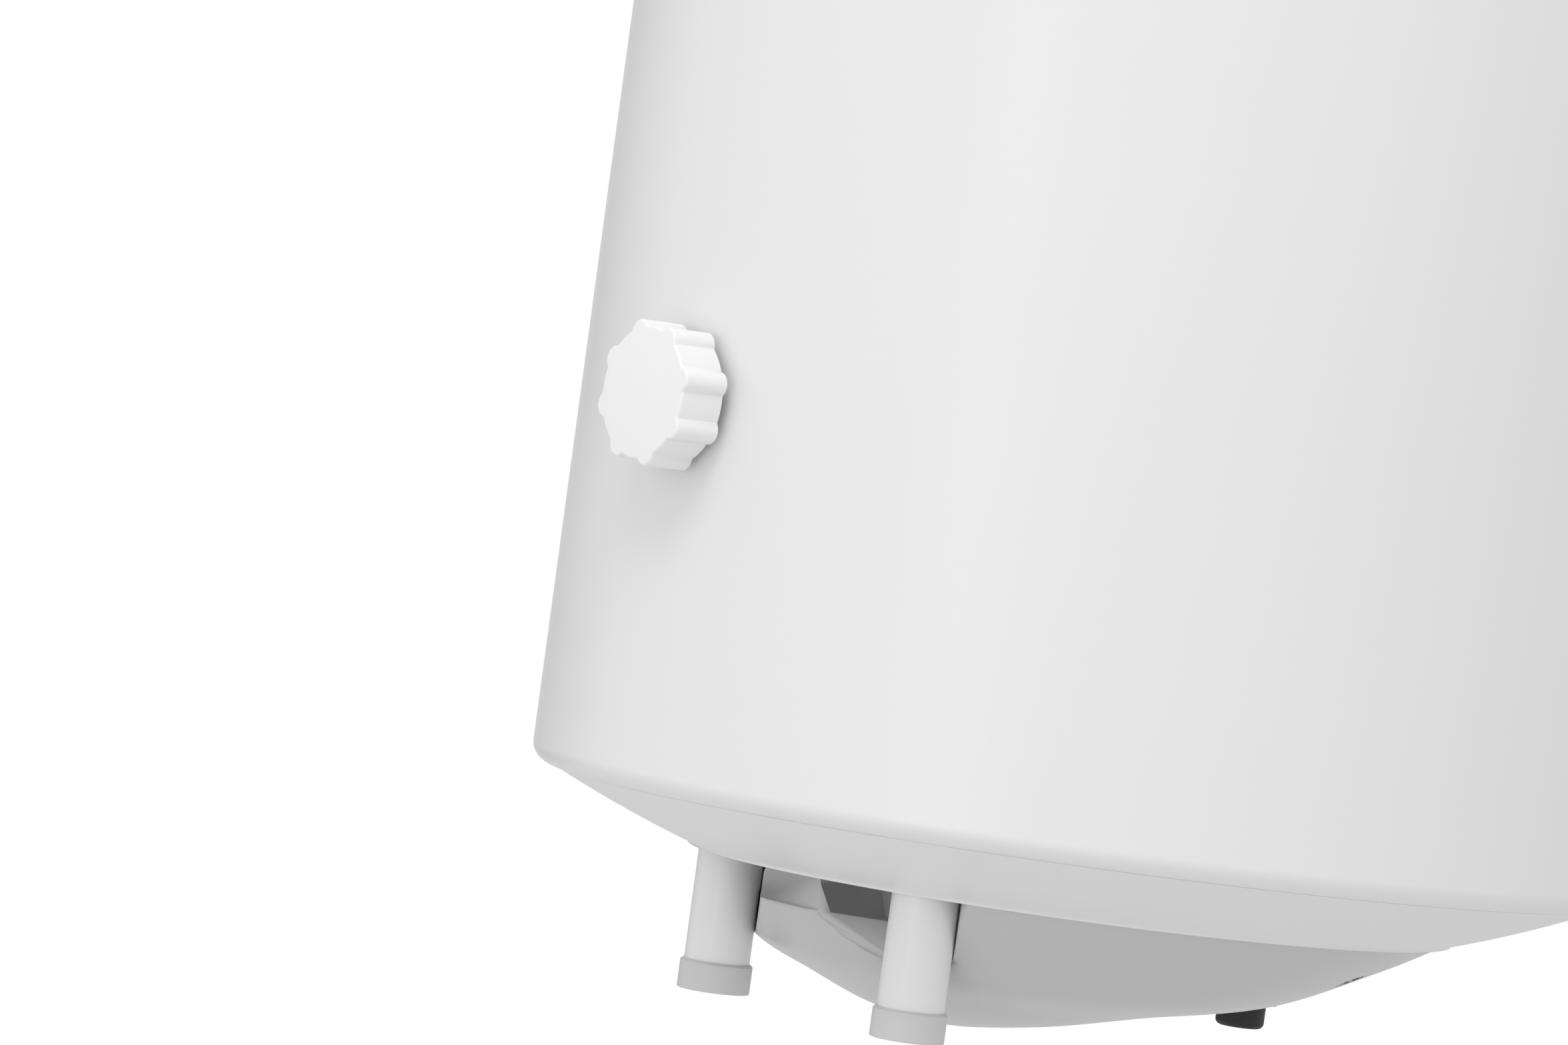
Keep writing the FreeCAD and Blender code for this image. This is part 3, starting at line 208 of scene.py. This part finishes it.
def turned(name, outline, around=AROUND, centre=None):
    """Turns a closed outline of (r, z) about an upright axis. z is counted from the lower rim."""
    centre = AXIS if centre is None else centre
    mesh = bmesh.new()
    rings = []
    for r, z in outline:
        if r < 1e-7:
            rings.append([mesh.verts.new(centre + Vector((0, 0, z)))])
            continue
        angles = [2 * math.pi * k / around for k in range(around)]
        rings.append([mesh.verts.new(centre + Vector((r * math.cos(a), r * math.sin(a), z))) for a in angles])
    for a, b in zip(rings, rings[1:] + rings[:1]):
        for k in range(around):
            corners = [a[k % len(a)], a[(k + 1) % len(a)], b[(k + 1) % len(b)], b[k % len(b)]]
            unique = list(dict.fromkeys(corners))
            if len(unique) > 2:
                mesh.faces.new(unique)
    return finished(name, mesh)


def finished(name, mesh, smooth_deg=35.0):
    """Closes a bmesh into an object with outward faces, smooth except at its edges."""
    bmesh.ops.remove_doubles(mesh, verts=mesh.verts, dist=1e-7)
    bmesh.ops.recalc_face_normals(mesh, faces=mesh.faces)
    limit = math.radians(smooth_deg)
    for face in mesh.faces:
        face.smooth = True
    for edge in mesh.edges:
        edge.smooth = len(edge.link_faces) == 2 and edge.calc_face_angle(0.0) < limit
    data = bpy.data.meshes.new(name)
    mesh.to_mesh(data)
    mesh.free()
    return new_object(name, data)


def arc(centre_r, centre_z, r, start_deg, end_deg, steps):
    """Points of a round stretch of an outline."""
    turn = end_deg - start_deg
    angles = [math.radians(start_deg + turn * k / steps) for k in range(steps + 1)]
    return [(centre_r + r * math.cos(a), centre_z + r * math.sin(a)) for a in angles]


CLOUDS_PER_METRE = 14.0


def surface(name, colour, roughness, grain_mm, grain_depth_mm, cloud=0.03, stretch=(1, 1, 1), **sockets):
    """A real finish: a fine grain that lifts the surface, and slow clouds in its colour and gloss."""
    material = bpy.data.materials.new(name)
    material.use_nodes = True
    tree = material.node_tree
    shader = tree.nodes["Principled BSDF"]
    place = add(tree, "ShaderNodeTexCoord")
    along = add(tree, "ShaderNodeMapping", {"Vector": place.outputs["Object"], "Scale": stretch})
    grain = add(tree, "ShaderNodeTexNoise",
                {"Vector": along.outputs[0], "Scale": 1 / (grain_mm * MM), "Detail": 3.0})
    slow = add(tree, "ShaderNodeTexNoise",
               {"Vector": place.outputs["Object"], "Scale": CLOUDS_PER_METRE, "Detail": 2.0})
    base = linear(colour)
    shades = [tuple(min(1.0, c * k) for c in base[:3]) + (1.0,) for k in (1 - cloud, 1 + cloud)]
    tint = add(tree, "ShaderNodeMix",
               {"Factor": slow.outputs["Fac"], 6: shades[0], 7: shades[1]}, data_type="RGBA")
    gloss = add(tree, "ShaderNodeMapRange", {"Value": slow.outputs["Fac"], "From Min": 0.3, "From Max": 0.7,
                                             "To Min": roughness * 0.9, "To Max": roughness * 1.1})
    lift = add(tree, "ShaderNodeBump", {"Height": grain.outputs["Fac"], "Distance": grain_depth_mm * MM,
                                        "Strength": 1.0})
    tree.links.new(tint.outputs[2], shader.inputs["Base Color"])
    tree.links.new(gloss.outputs[0], shader.inputs["Roughness"])
    tree.links.new(lift.outputs[0], shader.inputs["Normal"])
    for key, value in sockets.items():
        shader.inputs[key.replace("_", " ")].default_value = value
    return material


# Powder enamel: a smooth, hard, slightly wavy coat. The wave is 4 mm long and a few microns deep.
powder_enamel = surface("white_powder_enamel", "#e9e9e9", 0.32, 4.0, 0.004, cloud=0.006)

shell_outline = (arc(RIM_R, ROLL_R, ROLL_R, -90, 0, 12)
                 + arc(RIM_R, BODY_H - ROLL_R, ROLL_R, 0, 90, 12)
                 + arc(RIM_R, BODY_H - ROLL_R, ROLL_R - SHELL_T, 90, 0, 8)
                 + arc(RIM_R, ROLL_R, ROLL_R - SHELL_T, 0, -90, 8))
shell = turned("shell", shell_outline)
shell.data.materials.append(powder_enamel)
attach(shell, "heater")
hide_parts("outer_shell")

# ---- Caps ----
# Two pressed steel caps of the same dish, enamelled like the shell. The lower one is a ring that ends in
# a rolled lip, and its floor is recessed for the flange and the pipes. The upper one is closed.

DISH_R = 392.2 * MM
CAP_T = 1.5 * MM
NECK_R = RIM_R - 0.4 * MM
EDGE_R = 172 * MM
EDGE_Z = 1.4 * MM
WELL_R = 122 * MM
WELL_FLOOR = -7.3 * MM
OPENING_R = 62 * MM
LIP_R = 1.4 * MM
LIP_DROP = 0.3 * MM


def dish_z(r):
    """How far the dish has dropped below the rim at radius r, as a negative height."""
    return math.sqrt(DISH_R ** 2 - RIM_R ** 2) - math.sqrt(DISH_R ** 2 - r ** 2)


def dish(start_r, end_r, lift, steps):
    radii = [start_r + (end_r - start_r) * k / steps for k in range(steps + 1)]
    return [(r, dish_z(r) + lift) for r in radii]


lip_z = dish_z(WELL_R)
pan_outline = ([(EDGE_R, EDGE_Z), (NECK_R, EDGE_Z)]
               + dish(NECK_R, WELL_R + LIP_R, 0, 20)
               + arc(WELL_R + LIP_R, lip_z + LIP_R - LIP_DROP, LIP_R, -100, -180, 8)
               + [(WELL_R, WELL_FLOOR), (OPENING_R, WELL_FLOOR), (OPENING_R, WELL_FLOOR + CAP_T),
                  (WELL_R + CAP_T, WELL_FLOOR + CAP_T)]
               + dish(WELL_R + CAP_T, NECK_R - CAP_T, CAP_T, 12)
               + [(NECK_R - CAP_T, EDGE_Z + CAP_T), (EDGE_R, EDGE_Z + CAP_T)])
pan = turned("lower_cap", pan_outline)
pan.data.materials.append(powder_enamel)
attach(pan, "heater")
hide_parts("bottom_pan")


def from_top(points):
    return [(r, BODY_H - z) for r, z in points]


cap_outline = from_top([(EDGE_R, EDGE_Z), (NECK_R, EDGE_Z)] + dish(NECK_R, 0, 0, 32)
                       + dish(0, NECK_R - CAP_T, CAP_T, 16)
                       + [(NECK_R - CAP_T, EDGE_Z + CAP_T), (EDGE_R, EDGE_Z + CAP_T)])
cap = turned("upper_cap", cap_outline)
cap.data.materials.append(powder_enamel)
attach(cap, "heater")
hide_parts("top_cap")

# ---- Water pipes and their collars ----
# Two G 1/2 steel stubs, 20.96 mm outside, welded into the tank and painted with satin white powder.
# A light grey polypropylene ring, chamfered at its upper edge, is pressed over each threaded end.
# The powder gives a soft upright highlight, and the moulded ring a flatter, greyer one.

PIPE_END = -64.5 * MM
COLLAR_H = 9.6 * MM
COLLAR_R = 11.6 * MM
CHAMFER = 0.8 * MM
BORE_R = 8.0 * MM
PIPE_EDGE_R = 0.6 * MM
COLLAR_EDGE_R = 0.5 * MM
pipe_paint = surface("satin_pipe_powder", "#ededed", 0.34, 2.5, 0.006, cloud=0.01)
collar_plastic = surface("moulded_polypropylene", "#d2d2d2", 0.5, 0.8, 0.01, cloud=0.012)

for side, word in ((-1, "cold"), (1, "hot")):
    node = {"cold": "cold_inlet_pipe", "hot": "hot_outlet_pipe"}[word]
    low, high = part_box(node)
    pipe_r = (high.x - low.x) / 2
    middle = Vector(((low.x + high.x) / 2, (low.y + high.y) / 2, AXIS.z))
    top = high.z - AXIS.z
    edge = PIPE_EDGE_R
    pipe_outline = (arc(pipe_r - edge, PIPE_END + edge, edge, -90, 0, 4)
                    + [(pipe_r, top), (BORE_R, top)]
                    + arc(BORE_R + edge, PIPE_END + edge, edge, 180, 270, 4))
    pipe = turned(f"{word}_pipe", pipe_outline, 96, middle)
    pipe.data.materials.append(pipe_paint)
    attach(pipe, "heater")
    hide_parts(node)

    collar_top = PIPE_END + COLLAR_H
    edge = COLLAR_EDGE_R
    collar_outline = (arc(COLLAR_R - edge, PIPE_END + edge, edge, -90, 0, 4)
                      + [(COLLAR_R, collar_top - CHAMFER), (pipe_r + 0.3 * MM, collar_top),
                         (pipe_r, collar_top), (pipe_r, PIPE_END)])
    collar = turned(f"{word}_collar", collar_outline, 96, middle)
    collar.data.materials.append(collar_plastic)
    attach(collar, "heater")
    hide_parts(f"{word}_pipe_collar")

# ---- Electrical cover ----
# One ABS moulding, light grey and glossy: a bowl whose belly lies towards the front, open at the top.
# Two splayed ways clear the pipes, and the tongue between them brings the regulator's leads down.
# A boss at the back takes the gland, and a screw holds the bowl up on each side.

COVER_WALL = 2.5 * MM
LEDGE = lip_z - 11 * MM
COVER_LOW = lip_z - 60 * MM
COVER_HIGH = WELL_FLOOR + 5 * MM
TONGUE_FRONT = 112 * MM
TONGUE_REACH = 24 * MM
PAST_THE_BOWL = 170 * MM
PIPE_PLACE = (50 * MM, 98.7 * MM)
PIPE_ROOM = 10.9 * MM
WAY_SLANT = math.radians(37.5)
# how far the tongue's flank stands from the middle, at each height
tongue_flank = [(LEDGE, 18 * MM), (lip_z, 13.5 * MM), (COVER_HIGH, 13.5 * MM)]
SCREW_PLACE = (88 * MM, -45 * MM)
SCREW_POST_R = 6.5 * MM
SCREW_HOLE_R = 2.0 * MM
SCREW_HEAD_ROOM_R = 4.2 * MM
SCREW_HEAD_TOP = -22 * MM
GLAND_PLACE = (0, -80 * MM)
GLAND_BOSS_R = 15 * MM
GLAND_BOSS_LOW = -47 * MM
GLAND_BOSS_TOP = lip_z - 5 * MM
GLAND_FLOOR = 3 * MM
GLAND_HOLE_R = 8.1 * MM
COVER_AROUND = 200
COVER_LEVELS = 44
# depth below the lip, how far forward the centre lies, radius
cover_sections = [(0.0, 0.0, 121.2), (11.0, 7.0, 106.6), (25.5, 18.0, 83.8), (33.8, 30.0, 55.5),
                  (40.5, 37.5, 32.5), (44.3, 42.5, 12.0), (45.0, 43.5, 0.0)]


def between(values, t):
    """A smooth curve through values, with t running from 0 to their last index."""
    k = min(int(t), len(values) - 2)
    u = t - k
    a, b = values[k], values[k + 1]
    before = values[k - 1] if k else 2 * a - b
    after = values[k + 2] if k + 2 < len(values) else 2 * b - a
    linear_part = u * (b - before) / 2
    square_part = u * u * (before - 2.5 * a + 2 * b - after / 2)
    cube_part = u ** 3 * (1.5 * (a - b) + (after - before) / 2)
    return a + linear_part + square_part + cube_part


def bowl(name, inset):
    """The bowl as a solid, drawn in by inset, up to just under the recessed floor."""
    mesh = bmesh.new()
    depths, forwards, radii = zip(*cover_sections)
    levels = [(WELL_FLOOR - 0.3 * MM + (inset > 0) * MM, 0.0, radii[0] * MM - inset)]
    turns = [2 * math.pi * k / COVER_AROUND for k in range(COVER_AROUND)]
    last = len(cover_sections) - 1
    for k in range(COVER_LEVELS + 1):
        t = last * k / COVER_LEVELS
        r = max(between(radii, t) * MM - inset * (1 if t < last - 1 else last - t), 0.0)
        levels.append((lip_z - between(depths, t) * MM + inset, between(forwards, t) * MM, r))
    rings = []
    for z, forward, r in levels:
        centre = AXIS + Vector((0, -forward, z))
        if r < 1e-5:
            rings.append([mesh.verts.new(centre)])
        else:
            rings.append([mesh.verts.new(centre + Vector((r * math.cos(a), r * math.sin(a), 0)))
                          for a in turns])
    mesh.faces.new(rings[0])
    for a, b in zip(rings, rings[1:]):
        for k in range(COVER_AROUND):
            corners = [a[k], a[(k + 1) % len(a)], b[(k + 1) % len(b)], b[k % len(b)]]
            mesh.faces.new(list(dict.fromkeys(corners)))
    return finished(name, mesh)


def stacked(levels):
    """A solid through plan outlines of equal length at rising heights. y counts forward."""
    mesh = bmesh.new()
    rings = [[mesh.verts.new(AXIS + Vector((x, -y, z))) for x, y in outline] for z, outline in levels]
    mesh.faces.new(rings[0])
    mesh.faces.new(rings[-1])
    for a, b in zip(rings, rings[1:]):
        for k in range(len(a)):
            n = (k + 1) % len(a)
            mesh.faces.new((a[k], a[n], b[n], b[k]))
    return finished("cutter", mesh)


def post(x, y, r, z0, z1):
    """A round post or drill. y counts forward."""
    return turned("cutter", [(0, z0), (r, z0), (r, z1), (0, z1)], 64, AXIS + Vector((x, -y, 0)))


def combine(piece, others, operation="DIFFERENCE"):
    """Cuts the others from the piece or joins them to it, and removes them."""
    for other in others:
        modifier = piece.modifiers.new("combine", "BOOLEAN")
        modifier.operation = operation
        modifier.solver = "EXACT"
        modifier.object = other
    graph = bpy.context.evaluated_depsgraph_get()
    piece.data = bpy.data.meshes.new_from_object(piece.evaluated_get(graph))
    piece.modifiers.clear()
    for other in others:
        bpy.data.objects.remove(other)


def recesses(grow):
    """The splayed way round each pipe, the room beside the tongue, and the tongue's flat front."""
    front = PAST_THE_BOWL
    room = PIPE_ROOM + grow
    pipe_x, pipe_y = PIPE_PLACE
    slant = math.degrees(WAY_SLANT)
    opening = (front - pipe_y + room * math.cos(WAY_SLANT)) / math.tan(WAY_SLANT)
    spread = room * math.sin(WAY_SLANT) + opening
    round_back = arc(pipe_x, pipe_y, room, -90 - slant, -90 + slant, 16)
    way = [(pipe_x - spread, front)] + round_back + [(pipe_x + spread, front)]
    solids = []
    for side in (-1, 1):
        outline = [(side * x, y) for x, y in way]
        solids.append(stacked([(COVER_LOW, outline), (COVER_HIGH, outline)]))
        levels = []
        for z, flank in tongue_flank:
            x0, y0 = flank - grow, pipe_y - room
            corners = [(x0, front), (x0, y0), (pipe_x, y0), (pipe_x, front)]
            levels.append((z - grow * (z == LEDGE), [(side * x, y) for x, y in corners]))
        solids.append(stacked(levels))
    half, face = TONGUE_REACH, TONGUE_FRONT - grow
    flat = [(-half, face), (half, face), (half, front), (-half, front)]
    solids.append(stacked([(LEDGE - grow, flat), (COVER_HIGH + MM, flat)]))
    return solids


cover = bowl("electrical_cover_bowl", 0.0)
combine(cover, recesses(0.0))
combine(cover, [post(*GLAND_PLACE, GLAND_BOSS_R, GLAND_BOSS_LOW, GLAND_BOSS_TOP)], "UNION")
hollow = bowl("hollow", COVER_WALL)
screw_places = [(side * SCREW_PLACE[0], SCREW_PLACE[1]) for side in (-1, 1)]
screw_posts = [post(*at, SCREW_POST_R, lip_z - 40 * MM, 0) for at in screw_places]
combine(hollow, recesses(COVER_WALL) + screw_posts)
gland_floor = GLAND_BOSS_LOW + GLAND_FLOOR
drills = [post(*GLAND_PLACE, GLAND_BOSS_R - COVER_WALL, gland_floor, GLAND_BOSS_TOP),
          post(*GLAND_PLACE, GLAND_HOLE_R, GLAND_BOSS_LOW - MM, gland_floor + MM)]
for at in screw_places:
    drills += [post(*at, SCREW_HOLE_R, lip_z - 45 * MM, 0),
               post(*at, SCREW_HEAD_ROOM_R, lip_z - 45 * MM, SCREW_HEAD_TOP)]
combine(cover, [hollow] + drills)
edges = cover.modifiers.new("edges", "BEVEL")
edges.width = 0.6 * MM
edges.segments = 3
edges.limit_method = "ANGLE"
edges.angle_limit = math.radians(40)
edges.use_clamp_overlap = True
cover_plastic = surface("moulded_abs_grey", "#c4c4c4", 0.26, 1.2, 0.006, cloud=0.015)
cover.data.materials.clear()
cover.data.materials.append(cover_plastic)
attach(cover, "heater")
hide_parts("electrical_cover")

# ---- Knob ----
# Injection-moulded white ABS, hollow at the back: a round body with eight half-round lobes for the
# fingers, a flat face with softened edges, and no mark on it. It turns on the regulator's spindle.

knob_low, knob_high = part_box("knob")
KNOB_CENTRE = Vector((AXIS.x, knob_low.y, (knob_low.z + knob_high.z) / 2))
KNOB_DEPTH = knob_high.y - knob_low.y
LOBES = 8
LOBE_R = 4.0 * MM
LOBE_AT = 18.8 * MM
BODY_R = 20.5 * MM
FIRST_LOBE = math.radians(16.3)
KNOB_STEPS = 320
RECESS_R = 17 * MM
KNOB_FACE = 2.6 * MM
HUB_R = 6.4 * MM
HUB_SHORT = 2 * MM


def knob_radius(angle):
    """The outline: the body's circle, or the lobe's where that stands further out."""
    step = 2 * math.pi / LOBES
    off = (angle - FIRST_LOBE + step / 2) % step - step / 2
    across = LOBE_AT * math.sin(off)
    if abs(across) >= LOBE_R:
        return BODY_R
    return max(BODY_R, LOBE_AT * math.cos(off) + math.sqrt(LOBE_R ** 2 - across ** 2))


def knob_ring(mesh, radius_at, behind):
    angles = [2 * math.pi * (k + 0.5) / KNOB_STEPS for k in range(KNOB_STEPS)]
    points = [(radius_at(a) * math.cos(a), behind, radius_at(a) * math.sin(a)) for a in angles]
    return [mesh.verts.new(KNOB_CENTRE + Vector(point)) for point in points]


knob_mesh = bmesh.new()
EDGE = 0.9 * MM
rings = []
for k in range(7):
    turn = math.radians(90 * k / 6)
    inset, behind = EDGE * (1 - math.sin(turn)), EDGE * (1 - math.cos(turn))
    rings.append(knob_ring(knob_mesh, lambda a: knob_radius(a) - inset, behind))
for inset, behind in ((0.0, KNOB_DEPTH - 0.4 * MM), (0.3 * MM, KNOB_DEPTH)):
    rings.append(knob_ring(knob_mesh, lambda a: knob_radius(a) - inset, behind))
for r, behind in ((RECESS_R, KNOB_DEPTH), (RECESS_R, KNOB_FACE),
                  (HUB_R, KNOB_FACE), (HUB_R, KNOB_DEPTH - HUB_SHORT)):
    rings.append(knob_ring(knob_mesh, lambda a: r, behind))
for a, b in zip(rings, rings[1:]):
    for k in range(KNOB_STEPS):
        n = (k + 1) % KNOB_STEPS
        knob_mesh.faces.new((a[k], a[n], b[n], b[k]))
knob_mesh.faces.new(rings[0])
knob_mesh.faces.new(rings[-1])
knob = finished("temperature_knob", knob_mesh, smooth_deg=28)
knob_plastic = surface("moulded_abs_white", "#f2f2f2", 0.36, 0.9, 0.004, cloud=0.006)
knob.data.materials.append(knob_plastic)
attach(knob, "knob")
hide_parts("knob")

# ---- Wall straps ----
# Bent 2.5 mm steel straps, white powder coated: the web is bolted against the shell, the ears lie on
# the wall. The powder is coarser than the shell's enamel, so the straps look duller.

strap_paint = surface("strap_powder_coat", "#dedede", 0.45, 1.6, 0.012, cloud=0.015)
SHARP = math.radians(30)


def softened_copy(node, name, width):
    """A copy of a piece with its loose triangles merged, flats cleaned and edges broken."""
    mesh = bmesh.new()
    mesh.from_mesh(frame["nodes"][node].data)
    bmesh.ops.remove_doubles(mesh, verts=mesh.verts, dist=1e-6)
    bmesh.ops.dissolve_limit(mesh, angle_limit=math.radians(1.0), verts=mesh.verts, edges=mesh.edges)
    for face in mesh.faces:
        face.smooth = True
    for edge in mesh.edges:
        edge.smooth = len(edge.link_faces) == 2 and edge.calc_face_angle(0.0) < SHARP
    data = bpy.data.meshes.new(name)
    mesh.to_mesh(data)
    mesh.free()
    piece = new_object(name, data)
    broken = piece.modifiers.new("broken_edges", "BEVEL")
    broken.width = width
    broken.segments = 2
    broken.limit_method = "ANGLE"
    broken.angle_limit = SHARP
    return piece


for where in ("upper", "lower"):
    strap = softened_copy(f"wall_bracket_{where}", f"{where}_wall_strap", 0.4 * MM)
    strap.data.materials.append(strap_paint)
    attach(strap, "heater")
    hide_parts(f"wall_bracket_{where}")

# ---- Inner pieces and small fasteners ----
# The nuts, screws, gland and the pieces inside keep their own shapes. Each gets the finish of what it is
# made of: plated, drawn and turned metals shine along their grain, mouldings are even, foam is matt.

zinc_plate = surface("bright_zinc_plate", "#b9bcc0", 0.34, 0.6, 0.01, cloud=0.04, Metallic=1.0)
finishes = {
    "white_enamel": powder_enamel,
    "zinc_steel": zinc_plate,
    "foam": surface("cut_polyurethane_foam", "#d8c58a", 0.95, 1.5, 0.3, cloud=0.08),
    "tank_enamel": surface("fired_glass_enamel", "#16233f", 0.2, 5.0, 0.03, cloud=0.1, Coat_Weight=0.6),
    "black_rubber": surface("moulded_epdm", "#161616", 0.7, 0.5, 0.02, cloud=0.08),
    "stainless": surface("drawn_stainless_tube", "#a9a9a9", 0.28, 0.5, 0.008, cloud=0.03,
                         stretch=(1, 1, 0.02), Metallic=1.0),
    "copper": surface("drawn_copper", "#c0744e", 0.3, 0.5, 0.01, cloud=0.08,
                      stretch=(1, 1, 0.03), Metallic=1.0),
    "brass": surface("turned_brass", "#c2a25a", 0.3, 0.4, 0.01, cloud=0.05, Metallic=1.0),
    "magnesium": surface("cast_magnesium", "#8f8f8f", 0.55, 1.0, 0.05, cloud=0.08, Metallic=1.0),
    "white_plastic": surface("moulded_polyamide_white", "#dcdcd8", 0.5, 0.8, 0.01, cloud=0.02),
    "black_plastic": surface("moulded_polyamide_black", "#1b1b1b", 0.5, 0.7, 0.015, cloud=0.05),
    "red_plastic": surface("moulded_red_button", "#b3170f", 0.35, 0.8, 0.005, cloud=0.03),
    "wire_brown": surface("silicone_lead_brown", "#4d2b18", 0.55, 0.6, 0.01, cloud=0.05),
    "wire_blue": surface("silicone_lead_blue", "#1d3a80", 0.55, 0.6, 0.01, cloud=0.05),
    "wire_earth": surface("silicone_lead_green", "#3f7f24", 0.55, 0.6, 0.01, cloud=0.05),
}
slot_of = {part["node"]: part["material_slot"] for part in frame["record"]["subparts"]}
for node, piece in frame["nodes"].items():
    if slot_of[node] in finishes and not piece.hide_render:
        piece.data.materials.clear()
        piece.data.materials.append(finishes[slot_of[node]])

low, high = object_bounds()
